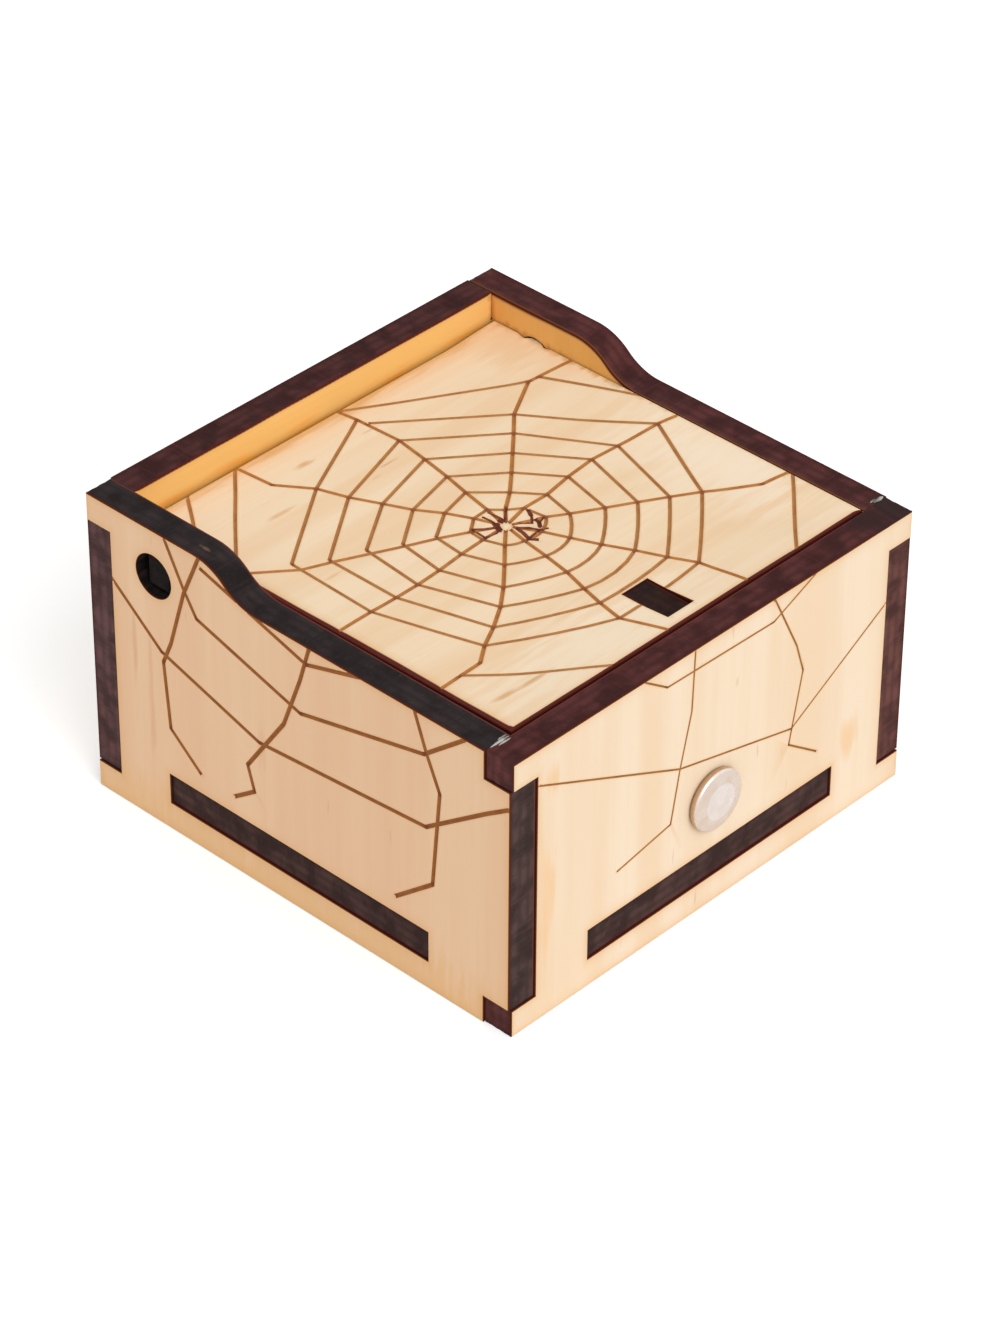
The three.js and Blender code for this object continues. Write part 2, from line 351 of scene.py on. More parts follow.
def placed(name, data):
    """Object that puts a mesh, a lamp or a camera into the scene."""
    piece = bpy.data.objects.new(name, data)
    bpy.context.scene.collection.objects.link(piece)
    return piece


def cut_sheet(name, node, across, outside, finishes, grooves=(), smoke=plain_smoke, step=0.5):
    """Dressed sheet piece on its packed outline; each groove has its lines, width and depth in mm."""
    loops, low, high = packed_outline(node, across)
    flat_axes = [axis for axis in range(3) if axis != across]
    outlines = [eased_outline(loop, step) for loop in recessed(loops, flat_axes)]
    moves = [inward(loop) for loop in outlines]
    bevels = (outer_bevel, inner_bevel) if outside == "high" else (inner_bevel, outer_bevel)
    thickness = high - low
    ply_edges = np.array([0.6, 1.5, 2.5, 3.5, 4.5, 5.4]) * thickness / 6
    depths = np.concatenate([[0, bevels[0]], ply_edges, [thickness - bevels[1], thickness]])
    rows = len(depths)
    rims = {}
    for row, bevel in zip((0, rows - 1), bevels):
        rims[row] = [loop + bevel * move for loop, move in zip(outlines, moves)]
    waver = np.random.default_rng(sum(map(ord, node)))
    vertices = []
    faces = []
    finish_index = []
    ply = []
    scorch = []
    dwell = []
    rim_scorch = []
    turned = across == ALONG_Y
    char = 2

    def add(flat, level, ply_share, scorch_share, dwell_share):
        spots = np.empty((len(flat), 3))
        spots[:, flat_axes[0]] = flat[:, 0]
        spots[:, flat_axes[1]] = flat[:, 1]
        spots[:, across] = level
        first = sum(map(len, vertices))
        vertices.append(spots)
        ply.append(np.broadcast_to(ply_share, len(flat)))
        scorch.append(np.broadcast_to(scorch_share, len(flat)))
        dwell.append(np.broadcast_to(dwell_share, len(flat)))
        return first

    rim_rows = {0: [], rows - 1: []}
    for number, (loop, move) in enumerate(zip(outlines, moves)):
        count = len(loop)
        burn = waver.random((rows, count))
        burn = (burn + np.roll(burn, 1, axis=1) + np.roll(burn, -1, axis=1)) / 3
        firsts = []
        for row, depth in enumerate(depths):
            eaten = burn_depth * burn[row, :, None] + ply_step * (row % 2)
            ring = loop + eaten * move
            if row in (1, rows - 2):
                ring = loop
            if row in rim_rows:
                ring = rims[row][number]
            through = depth / thickness if outside == "high" else 1 - depth / thickness
            firsts.append(add(ring, high - depth, through, 1, 0))
        for row in rim_rows:
            rim_rows[row].append(firsts[row] + np.arange(count))
        here = np.arange(count)
        after = np.roll(here, -1)
        for upper, lower in zip(firsts, firsts[1:]):
            quad = [upper + here, lower + here, lower + after, upper + after]
            if turned:
                quad = quad[::-1]
            faces += np.stack(quad, axis=1).tolist()
            finish_index += [char] * count
    for row, level, inner_way in ((0, high, -1), (rows - 1, low, 1)):
        is_outside = outside == ("high" if row == 0 else "low")
        face = veneer_face(rims[row], grooves if is_outside else (), smoke[0 if is_outside else 1])
        points, sunk, mark, linger, triangles, finish, rim_index = face
        first = add(points, level + inner_way * sunk, 0, mark, linger)
        index = first + np.arange(len(points))
        index[rim_index] = np.concatenate(rim_rows[row])
        rim_scorch.append((index[rim_index], mark[rim_index]))
        if (row == 0) == turned:
            triangles = triangles[:, ::-1]
        faces += index[triangles].tolist()
        base = 0 if is_outside else 1
        finish_index += np.where(finish < 0, base, 3 + finish).tolist()
    scorch = np.concatenate(scorch)
    for place, mark in rim_scorch:
        scorch[place] = mark
    spots = np.concatenate(vertices) / 1000
    used = np.unique(np.concatenate([np.array(face) for face in faces]))
    renumber = np.zeros(len(spots), int)
    renumber[used] = np.arange(len(used))
    faces = [[int(renumber[corner]) for corner in face] for face in faces]
    mesh = bpy.data.meshes.new(name)
    mesh.from_pydata(spots[used].tolist(), [], faces)
    for finish in finishes:
        mesh.materials.append(finish)
    mesh.polygons.foreach_set("material_index", finish_index)
    mesh.polygons.foreach_set("use_smooth", [finish == char for finish in finish_index])
    marks = {"ply": np.concatenate(ply), "scorch": scorch, "dwell": np.concatenate(dwell)}
    for title, values in marks.items():
        layer = mesh.attributes.new(title, "FLOAT", "POINT")
        layer.data.foreach_set("value", values[used].astype(np.float32))
    mesh.update()
    mesh.set_sharp_from_angle(angle=math.radians(35))
    return placed(name, mesh)


def new_finish(name):
    """Material with its shader, ready for more nodes."""
    finish = bpy.data.materials.new(name)
    finish.use_nodes = True
    tree = finish.node_tree
    return finish, tree, tree.nodes["Principled BSDF"]


def stretched_noise(tree, per_metre, detail, offset=0.0):
    """Noise in the piece's own frame, with so many grains to the metre along each axis."""
    place = tree.nodes.new("ShaderNodeTexCoord")
    stretch = tree.nodes.new("ShaderNodeMapping")
    stretch.inputs["Scale"].default_value = per_metre
    stretch.inputs["Location"].default_value = (offset, offset, offset)
    noise = tree.nodes.new("ShaderNodeTexNoise")
    noise.inputs["Scale"].default_value = 1.0
    noise.inputs["Detail"].default_value = detail
    tree.links.new(place.outputs["Object"], stretch.inputs["Vector"])
    tree.links.new(stretch.outputs["Vector"], noise.inputs["Vector"])
    return noise.outputs["Fac"]


def share(tree, value, start, end, low=0.0, high=1.0):
    """Value from start to end turned into low to high, and held there beyond them."""
    node = tree.nodes.new("ShaderNodeMapRange")
    node.interpolation_type = "SMOOTHSTEP"
    tree.links.new(value, node.inputs["Value"])
    node.inputs["From Min"].default_value = start
    node.inputs["From Max"].default_value = end
    node.inputs["To Min"].default_value = low
    node.inputs["To Max"].default_value = high
    return node.outputs["Result"]


def tinted(tree, amount, under, over):
    """Colour under, turned towards over by an amount."""
    node = tree.nodes.new("ShaderNodeMix")
    node.data_type = "RGBA"
    tree.links.new(amount, node.inputs[0])
    for socket, colour in ((node.inputs[6], under), (node.inputs[7], over)):
        if isinstance(colour, tuple):
            socket.default_value = (*colour, 1.0)
        else:
            tree.links.new(colour, socket)
    return node.outputs[2]


def layered(tree, colour, layers):
    """Colour with others laid over it: each has a mask, the mask's span, a strength and a colour."""
    for mask, start, end, strength, over in layers:
        colour = tinted(tree, share(tree, mask, start, end, 0.0, strength), colour, over)
    return colour


def combined(tree, operation, first, second=0.0):
    """Sum, product or the like of two values, each a number or another node's output."""
    node = tree.nodes.new("ShaderNodeMath")
    node.operation = operation
    for socket, value in zip(node.inputs, (first, second)):
        if isinstance(value, float):
            socket.default_value = value
        else:
            tree.links.new(value, socket)
    return node.outputs[0]


def facing(tree, axis):
    """How far the surface faces along an axis of its piece, from -1 to 1."""
    place = tree.nodes.new("ShaderNodeTexCoord")
    split = tree.nodes.new("ShaderNodeSeparateXYZ")
    tree.links.new(place.outputs["Normal"], split.inputs[0])
    return split.outputs[axis]


def painted(tree, name):
    """Value stored with the points of the mesh."""
    node = tree.nodes.new("ShaderNodeAttribute")
    node.attribute_name = name
    return node.outputs["Fac"]


def raised(tree, height, strength, distance):
    """Fine relief for the shader's normal."""
    node = tree.nodes.new("ShaderNodeBump")
    node.inputs["Strength"].default_value = strength
    node.inputs["Distance"].default_value = distance
    tree.links.new(height, node.inputs["Height"])
    return node.outputs["Normal"]


def along_grain(grain, across_rate, along_rate):
    """Grains to the metre on the three axes, long in the direction of the grain."""
    return tuple(along_rate if axis == grain else across_rate for axis in range(3))


def soft_patch(tree, grain, middle, reach):
    """Soft oval patch torn along the grain, 1 in its middle and 0 outside; middle and reach in mm."""
    place = tree.nodes.new("ShaderNodeTexCoord")
    oval = tree.nodes.new("ShaderNodeMapping")
    oval.vector_type = "TEXTURE"
    oval.inputs["Location"].default_value = [part / 1000 for part in middle]
    oval.inputs["Scale"].default_value = [part / 1000 for part in reach]
    away = tree.nodes.new("ShaderNodeVectorMath")
    away.operation = "LENGTH"
    tree.links.new(place.outputs["Object"], oval.inputs["Vector"])
    tree.links.new(oval.outputs["Vector"], away.inputs[0])
    ragged = stretched_noise(tree, along_grain(grain, 700, 90), 3)
    tear = share(tree, ragged, 0.3, 0.7, -0.3, 0.3)
    return share(tree, combined(tree, "ADD", away.outputs["Value"], tear), 1.0, 0.1)


honey = (0.78, 0.42, 0.13)
ember = (0.095, 0.012, 0.008)
dark_red = (0.075, 0.010, 0.004)
brown_rim = (0.20, 0.062, 0.018)
ash = (0.17, 0.12, 0.10)
fleck_brown = (0.50, 0.24, 0.09)
outer_singe = (0.95, 0.92, 1.25)
inner_singe = (0.70, 0.40, 0.72)


def birch_veneer(name, pale, deep, grain, offset, singe, patches=()):
    """Bare birch: soft bands, fine grain lines, short flecks and patches, scorched beside the cuts; some
    patches are painted shade.
    """
    finish, tree, shader = new_finish(name)
    honey_share, ember_start, ember_full = singe
    bands = stretched_noise(tree, along_grain(grain, 130, 7), 3, offset)
    fine = stretched_noise(tree, along_grain(grain, 1500, 30), 4, offset)
    dashes = stretched_noise(tree, along_grain(grain, 620, 95), 1, offset + 3)
    cloud = stretched_noise(tree, (45, 45, 45), 2, offset + 7)
    wood = tinted(tree, share(tree, bands, 0.36, 0.68), pale, deep)
    wood = layered(tree, wood, [(fine, 0.45, 0.8, 0.35, deep), (dashes, 0.74, 0.86, 0.45, fleck_brown)])
    for middle, reach, colour in patches:
        wood = tinted(tree, soft_patch(tree, grain, middle, reach), wood, colour)
    thinned = share(tree, cloud, 0.3, 0.7, 0.86, 1.04)
    smoke = combined(tree, "MULTIPLY", painted(tree, "scorch"), thinned)
    singed = [(smoke, 0.02, 0.75, honey_share, honey), (smoke, ember_start, ember_full, 1.0, ember)]
    wood = layered(tree, wood, singed)
    tree.links.new(wood, shader.inputs["Base Color"])
    tree.links.new(share(tree, fine, 0.3, 0.7, 0.52, 0.68), shader.inputs["Roughness"])
    tree.links.new(raised(tree, fine, 0.25, 0.0001), shader.inputs["Normal"])
    shader.inputs["Specular IOR Level"].default_value = 0.1
    return finish


def scaled(colour, factor):
    """Colour made darker or lighter."""
    return tuple(factor * part for part in colour)


def charred_edge(name, across, upward, upright, rim=brown_rim, inside=ember, scuffs_and_shade=()):
    """Laser-cut edge: soot over the plies, striped through the thickness, brown or red at its rims;
    upright faces get lighter soot than upward ones, a painted sheen.
    """
    finish, tree, shader = new_finish(name)
    stripes = stretched_noise(tree, along_grain(across, 1100, 60), 3)
    blotch = stretched_noise(tree, (260, 260, 260), 3, 5)
    dust = stretched_noise(tree, (2600, 2600, 2600), 2, 11)
    # Upright cut faces lighter than upward ones: a painted sheen.
    up = share(tree, facing(tree, "Z"), 0.3, 0.8)
    deep = tinted(tree, up, scaled(upright, 0.6), scaled(upward, 0.6))
    bright = tinted(tree, up, scaled(upright, 1.4), scaled(upward, 1.4))
    soot = tinted(tree, share(tree, blotch, 0.32, 0.68), deep, bright)
    ply = painted(tree, "ply")
    layers = combined(tree, "SINE", combined(tree, "MULTIPLY", ply, 6 * math.pi))
    burnt = [
        (layers, -0.4, 0.8, 0.45, deep),
        (stripes, 0.5, 0.75, 0.5, bright),
        (stripes, 0.48, 0.25, 0.6, deep),
        (dust, 0.66, 0.8, 0.3, ash),
        (ply, 0.10, 0.04, 0.85, dark_red),
        (ply, 0.028, 0.005, 0.8, rim),
        (ply, 0.93, 0.98, 0.9, inside),
    ]
    soot = layered(tree, soot, burnt)
    # Soft patches over the soot: scuffs, and painted shade inside holes.
    for middle, reach, colour in scuffs_and_shade:
        soot = tinted(tree, soft_patch(tree, across, middle, reach), soot, colour)
    tree.links.new(soot, shader.inputs["Base Color"])
    tree.links.new(share(tree, stripes, 0.3, 0.7, 0.55, 0.8), shader.inputs["Roughness"])
    tree.links.new(raised(tree, stripes, 0.5, 0.0002), shader.inputs["Normal"])
    shader.inputs["Specular IOR Level"].default_value = 0.05
    return finish


floor_pale = (0.86, 0.62, 0.36)
floor_deep = (0.80, 0.53, 0.28)
inner_pale = (0.83, 0.54, 0.25)
inner_deep = (0.75, 0.44, 0.17)
inner_top = (0.050, 0.022, 0.020)
floor_end = (0.060, 0.032, 0.029)
floor_veneer = birch_veneer("floor_birch", floor_pale, floor_deep, ALONG_Y, 4, inner_singe)
under_veneer = birch_veneer("under_birch", inner_pale, inner_deep, ALONG_Y, 1, inner_singe)
floor_char = charred_edge("floor_char", ALONG_Z, inner_top, floor_end)
floor_finishes = [floor_veneer, under_veneer, floor_char]
bottom_board = cut_sheet("bottom_board", "bottom_panel", ALONG_Z, "high", floor_finishes)
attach(bottom_board, "box")
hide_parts("bottom_panel")


# Front wall: low plywood wall with fingers at the top and bottom of both ends, glued round the side walls'
# tabs and the bottom panel's tab. Thin threads of the web are scored into its face by the laser.

front_pale = (0.90, 0.735, 0.555)
front_deep = (0.87, 0.665, 0.46)
# Inner faces: amber birch, partly laser smoke and partly a painted warm bounce of light between the walls.
smoke_and_warm_bounce_pale = (0.92, 0.57, 0.20)
smoke_and_warm_bounce_deep = (0.85, 0.48, 0.14)
wall_smoke = ((0, 0, 1.5), (0, 1.1, 0.2))


def scored_line(name, light, dark):
    """Bottom of a line scored by the laser, darker where the beam lingers."""
    finish, tree, shader = new_finish(name)
    linger = stretched_noise(tree, (420, 420, 420), 3)
    speck = stretched_noise(tree, (3000, 3000, 3000), 1, 2)
    burnt = [
        (linger, 0.35, 0.7, 0.35, dark),
        (speck, 0.6, 0.75, 0.3, dark),
        (painted(tree, "dwell"), 0.1, 0.9, 0.9, dark),
        (painted(tree, "scorch"), 0.44, 0.6, 1.0, ember),
    ]
    tree.links.new(layered(tree, light, burnt), shader.inputs["Base Color"])
    shader.inputs["Roughness"].default_value = 0.85
    shader.inputs["Specular IOR Level"].default_value = 0.15
    return finish


front_stains = [
    ((-41.2, -49, 24), (2.4, 9, 17), (0.88, 0.60, 0.36)),
    ((35.5, -49, 16), (3.2, 9, 6), (0.88, 0.62, 0.38)),
    ((-40.5, -49, 49), (3.0, 9, 4), (0.87, 0.61, 0.37)),
]
front_veneer = birch_veneer("front_birch", front_pale, front_deep, ALONG_Z, 0, outer_singe, front_stains)
front_inside = birch_veneer("front_inside_birch", smoke_and_warm_bounce_pale, smoke_and_warm_bounce_deep, ALONG_Z, 2, inner_singe)
front_ember = (0.14, 0.032, 0.022)
front_scuffs = [
    ((50, -47, 56.8), (16, 16, 3), (0.038, 0.019, 0.019)),
    ((-49.5, -48.5, 50), (5, 3, 9), (0.070, 0.024, 0.025)),
]
front_top = (0.076, 0.023, 0.022)
front_end = (0.104, 0.034, 0.032)
front_char = charred_edge(
    "front_char", ALONG_Y, front_top, front_end, inside=front_ember, scuffs_and_shade=front_scuffs
)
front_score = scored_line("front_score", (0.40, 0.175, 0.05), (0.20, 0.068, 0.024))
front_threads = [
    [(-20.3, 58.0), (-12.8, 52.7), (13.8, 52.1), (27.3, 58.0)],
    [(-44.2, 49.7), (-9.0, 33.7), (19.7, 26.5), (44.9, 41.2)],
    [(-6.0, 58.0), (-6.5, 44.4), (-9.0, 33.7), (-11.0, 23.1), (-24.2, 20.6)],
    [(13.2, 58.0), (20.1, 43.9), (22.1, 37.7), (19.9, 26.8), (19.2, 23.3), (26.9, 17.7)],
]
front_grooves = [(front_threads, 0.38, 0.15)]
front_finishes = [front_veneer, front_inside, front_char, front_score]
front_board = cut_sheet(
    "front_board", "front_wall", ALONG_Y, "low", front_finishes, front_grooves, wall_smoke
)
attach(front_board, "box")
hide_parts("front_wall")


# Side walls: plywood walls with a raised rear part, an S-shaped step in the top edge and a round hinge
# hole. Their tabs are glued into the front wall's notches, and the web's threads hang down their outer
# faces.

side_pale = (0.92, 0.625, 0.40)
side_deep = (0.89, 0.572, 0.355)
left_streaks = [
    ((-49, 0, 0), (9, 200, 12), (0.885, 0.565, 0.295)),
    ((-49, 9, 31), (9, 1.3, 9), (0.86, 0.54, 0.33)),
    ((-49, 36, 27), (9, 1.0, 16), (0.82, 0.50, 0.30)),
    ((-49, 40, 33), (9, 0.9, 14), (0.82, 0.50, 0.30)),
]
left_veneer = birch_veneer("left_birch", side_pale, side_deep, ALONG_Z, 6, outer_singe, left_streaks)
lid_shade = [
    ((44, 40, 56.2), (9, 24, 1.7), (0.62, 0.31, 0.075)),
    ((44, 45, 58), (9, 1.3, 14), (0.70, 0.34, 0.08)),
]
# Side walls' inner faces: laser smoke, a painted warm bounce of light between the walls, and painted shade
# where they face away from the lamp.
side_smoke_bounce_and_shade = (0.85, 0.47, 0.145)
side_deep_smoke_bounce_and_shade = (0.79, 0.42, 0.115)
side_inside = birch_veneer(
    "side_inside_birch", side_smoke_bounce_and_shade, side_deep_smoke_bounce_and_shade, ALONG_Z, 5, inner_singe, lid_shade
)
left_ember = (0.16, 0.042, 0.030)
left_scuff_and_hole_shade = [
    ((-47.2, 24.4, 62.4), (0.45, 1.7, 4), (0.12, 0.08, 0.052)),
    # Near-black over the left hinge hole's bore: painted shade inside the hole.
    ((-47, 34.35, 53), (30, 9, 9), (0.006, 0.005, 0.005)),
]
left_top = (0.028, 0.020, 0.020)
left_end = (0.066, 0.039, 0.035)
left_char = charred_edge(
    "left_char", ALONG_X, left_top, left_end, inside=left_ember, scuffs_and_shade=left_scuff_and_hole_shade
)
side_score = scored_line("side_score", (0.36, 0.132, 0.036), (0.20, 0.056, 0.022))
side_threads = [
    [(32.0, 63.5), (27.0, 54.0), (24.0, 49.3), (-0.6, 42.3), (-29.3, 49.0), (-39.8, 57.8)],
    [(45.7, 48.1), (33.1, 37.9), (9.5, 30.9), (-29.7, 34.2), (-43.3, 44.3), (-49.8, 48.8)],
    [(22.9, 60.4), (-2.2, 53.2), (-17.2, 57.7)],
    [(22.7, 63.0), (27.0, 53.0), (30.6, 40.9), (32.7, 35.9), (31.5, 22.3), (24.2, 16.2)],
    [(-3.4, 58.1), (-0.7, 49.1), (3.4, 38.0), (12.5, 24.6), (11.0, 19.6), (16.1, 15.8)],
    [(-26.7, 58.2), (-29.8, 49.7), (-32.9, 42.7), (-31.2, 22.9), (-22.4, 15.5)],
]
side_grooves = [(side_threads, 0.82, 0.22)]
left_finishes = [left_veneer, side_inside, left_char, side_score]
left_board = cut_sheet("left_board", "left_wall", ALONG_X, "low", left_finishes, side_grooves, wall_smoke)
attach(left_board, "box")
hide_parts("left_wall")
right_veneer = birch_veneer("right_birch", side_pale, side_deep, ALONG_Z, 8, outer_singe)
right_top = (0.078, 0.024, 0.023)
right_end = (0.112, 0.044, 0.038)
right_brown = (0.17, 0.062, 0.016)
right_char = charred_edge("right_char", ALONG_X, right_top, right_end, inside=right_brown)
right_finishes = [right_veneer, side_inside, right_char, side_score]
right_board = cut_sheet(
    "right_board", "right_wall", ALONG_X, "high", right_finishes, side_grooves, wall_smoke
)
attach(right_board, "box")
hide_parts("right_wall")


# Back wall: high plywood wall whose wide side tabs show on the side walls' outer faces, glued there.
# Its outer face isn't in view; it carries the same thin threads as the front wall, somewhat higher.

back_veneer = birch_veneer("back_birch", front_pale, front_deep, ALONG_Z, 9, outer_singe)
back_shade = [
    ((0, 45, 55.2), (90, 9, 2.3), (0.98, 0.37, 0.05)),
    ((44, 45, 58), (1.3, 9, 14), (0.72, 0.36, 0.09)),
]
back_inside = birch_veneer(
    "back_inside_birch", smoke_and_warm_bounce_pale, smoke_and_warm_bounce_deep, ALONG_X, 7, inner_singe, back_shade
)
back_top = (0.062, 0.021, 0.020)
back_end = (0.106, 0.053, 0.052)
back_char = charred_edge("back_char", ALONG_Y, back_top, back_end)
back_lift = 4.0
back_threads = [[(-x, z + back_lift) for x, z in thread] for thread in front_threads]
back_grooves = [(back_threads, 0.5, 0.18)]
back_smoke = ((0, 0, 1.5), (0, 0.5, 0.2))
back_finishes = [back_veneer, back_inside, back_char, front_score]
back_board = cut_sheet("back_board", "back_wall", ALONG_Y, "high", back_finishes, back_grooves, back_smoke)
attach(back_board, "box")
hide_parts("back_wall")


# Latch behind the front wall: a plywood bolt that slides sideways between two glued guides, covered by a
# plate whose tenons stand in the bottom panel. Two ledges on the side walls carry the closed lid.

latch_pieces = [
    ("bolt_board", "latch_bolt", "bolt", ALONG_Y),
    ("left_guide_board", "left_guide", "box", ALONG_Y),
    ("right_guide_board", "right_guide", "box", ALONG_Y),
    ("cover_board", "latch_cover", "box", ALONG_Y),
    ("left_ledge", "left_lid_rest", "box", ALONG_X),
    ("right_ledge", "right_lid_rest", "box", ALONG_X),
]
latch_veneer = birch_veneer("latch_birch", inner_pale, inner_deep, ALONG_X, 1, inner_singe)
latch_end = (0.060, 0.028, 0.026)
latch_char = {
    ALONG_X: charred_edge("ledge_char", ALONG_X, inner_top, latch_end),
    ALONG_Y: charred_edge("latch_char", ALONG_Y, inner_top, latch_end),
}
for name, node, body, across in latch_pieces:
    latch_finishes = [latch_veneer, latch_veneer, latch_char[across]]
    piece = cut_sheet(name, node, across, "high", latch_finishes, step=1.0)
    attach(piece, body)
    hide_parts(node)


# Inner magnet: nickel-plated disc pressed into the bolt's bore, its face towards the front wall.
# It follows the outer disc through the wood and so drags the bolt along.


def ring_faces(rings, around):
    """Faces between rings of points, each ring after the one before."""
    faces = []
    for ring in range(rings - 1):
        here = ring * around
        there = here + around
        for spoke in range(around):
            after = (spoke + 1) % around
            faces.append((here + spoke, there + spoke, there + after, here + after))
    return faces


def smooth_mesh(name, vertices, faces, finishes):
    """Smooth mesh with its finishes."""
    mesh = bpy.data.meshes.new(name)
    mesh.from_pydata(vertices, [], faces)
    mesh.polygons.foreach_set("use_smooth", [True] * len(faces))
    for finish in finishes:
        mesh.materials.append(finish)
    return mesh


def turned_disc(name, node, profile, finishes):
    """Disc turned about the front-to-back axis through the middle of a packed magnet; profile in mm."""
    low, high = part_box(node)
    middle = (low + high) / 2
    around = 96
    angles = np.arange(around) * 2 * math.pi / around
    vertices = []
    for radius, forward in profile:
        for angle in angles:
            x = middle.x + radius / 1000 * math.cos(angle)
            z = middle.z + radius / 1000 * math.sin(angle)
            vertices.append((x, high.y - forward / 1000, z))
    faces = ring_faces(len(profile), around)
    faces.append(tuple(range(around)))
    last = (len(profile) - 1) * around
    faces.append(tuple(last + spoke for spoke in reversed(range(around))))
    mesh = smooth_mesh(name, vertices, faces, finishes)
    mesh.polygons[len(faces) - 1].material_index = len(finishes) - 1
    mesh.set_sharp_from_angle(angle=math.radians(50))
    return placed(name, mesh)


def rounded_rim(radius, start, rim, steps=8):
    """Quarter round from a disc's back towards its front, or the other way round for a negative rim."""
    arc = []
    for step in range(steps + 1):
        angle = math.pi / 2 * step / steps
        if rim > 0:
            arc.append((radius - rim + rim * math.sin(angle), start + rim - rim * math.cos(angle)))
        else:
            arc.append((radius + rim - rim * math.cos(angle), start + rim - rim * math.sin(angle)))
    return arc


painted_wood_reflection = (0.44, 0.29, 0.16)


def nickel_plate(name, bright, dull):
    """Nickel plating with soft finger smudges and fine scuffs, and a painted brown reflection of the wood
    round the rim.
    """
    finish, tree, shader = new_finish(name)
    smudge = stretched_noise(tree, (380, 380, 380), 4)
    scuff = stretched_noise(tree, (2400, 2400, 300), 2, 3)
    plate = tinted(tree, share(tree, smudge, 0.4, 0.7), bright, dull)
    # Faces turned from the front take a painted brown reflection of the wood wall.
    plate = tinted(tree, share(tree, facing(tree, "Y"), -0.6, 0.3), plate, painted_wood_reflection)
    tree.links.new(plate, shader.inputs["Base Color"])
    tree.links.new(share(tree, smudge, 0.3, 0.7, 0.24, 0.36), shader.inputs["Roughness"])
    tree.links.new(raised(tree, scuff, 0.08, 0.00005), shader.inputs["Normal"])
    shader.inputs["Metallic"].default_value = 1.0
    return finish


# The rim and sloping ring take a darker, beige nickel and the flat middle a paler one: painted reflections
# on plating that is alike all over.
nickel_rim = nickel_plate("nickel_rim", (0.90, 0.78, 0.69), (0.84, 0.70, 0.60))
nickel_face = nickel_plate("nickel_face", (0.96, 0.90, 0.87), (0.90, 0.83, 0.79))
inner_profile = [*rounded_rim(5.0, 0.0, 0.3), *rounded_rim(5.0, 3.0, -0.3)]
inner_disc = turned_disc("inner_disc", "inner_magnet", inner_profile, [nickel_rim, nickel_face])
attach(inner_disc, "bolt")
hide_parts("inner_magnet")


# Lid: plywood panel that turns on two ears in the side walls' holes and lies a little askew, its edges
# raised. A spider web is scored into its top by the laser: ten spokes from a hub, rings of thread from
# spoke to spoke, and stays to the corners.

lid_pale = (0.95, 0.745, 0.52)
lid_deep = (0.90, 0.645, 0.405)
lid_singe = (0.9, 0.42, 0.52)
lid_smoke = ((-0.85, -0.45, 0.35), (0, 0, 0.45))
lid_lift = 0.7
left_lift = 0.25
left_slant = 0.009
lid_shift = 0.35
rear_shift = 0.2
# where each bend of the lid starts, in mm from its middle, and how far it runs
left_bend = (30, 13.5)
right_bend = (30, 14)
front_bend = (31, 12)
side_bend = (30, 12)
rear_bend = (38, 6)
ear_bend = (41, 2.4)
ear_root = 43.75
ear_middle = 34.35
ear_reach = 2.5
ear_half = 3.0
ear_radius = 4.08
ear_slope = 0.3
lid_flecks_and_shade = [
    ((-14, -35, 56), (34, 13, 9), (0.965, 0.785, 0.575)),
    ((39, -15, 56), (15, 26, 9), (0.965, 0.785, 0.585)),
    ((14, 3, 56), (13, 9, 9), (0.93, 0.68, 0.44)),
    # Painted shade: along the rear edge and the right edge, and in the far right corner by the raised
    # walls.
    ((10, 44.2, 56), (120, 2.6, 9), (0.77, 0.47, 0.21)),
    ((44, 32, 56), (1.6, 40, 9), (0.70, 0.42, 0.18)),
    ((40, 36, 56), (9, 9, 9), (0.89, 0.62, 0.37)),
    ((-36.5, -34.5, 56), (4.5, 0.8, 9), (0.74, 0.45, 0.22)),
    ((-30.0, -34.8, 56), (5.0, 0.8, 9), (0.76, 0.47, 0.24)),
    ((-11.5, 37.0, 56), (3.0, 1.0, 9), (0.76, 0.47, 0.24)),
    ((-25.0, 29.0, 56), (4.0, 0.7, 9), (0.82, 0.54, 0.30)),
    ((-32.0, 9.6, 56), (4.0, 0.7, 9), (0.82, 0.54, 0.30)),
]
lid_veneer = birch_veneer("lid_birch", lid_pale, lid_deep, ALONG_X, 3, lid_singe, lid_flecks_and_shade)
lid_under = birch_veneer("lid_under_birch", inner_pale, inner_deep, ALONG_X, 2, inner_singe)
lid_soot = (0.035, 0.016, 0.014)
lid_red = (0.07, 0.006, 0.002)
lid_char = charred_edge("lid_char", ALONG_Z, lid_soot, lid_soot, lid_red)
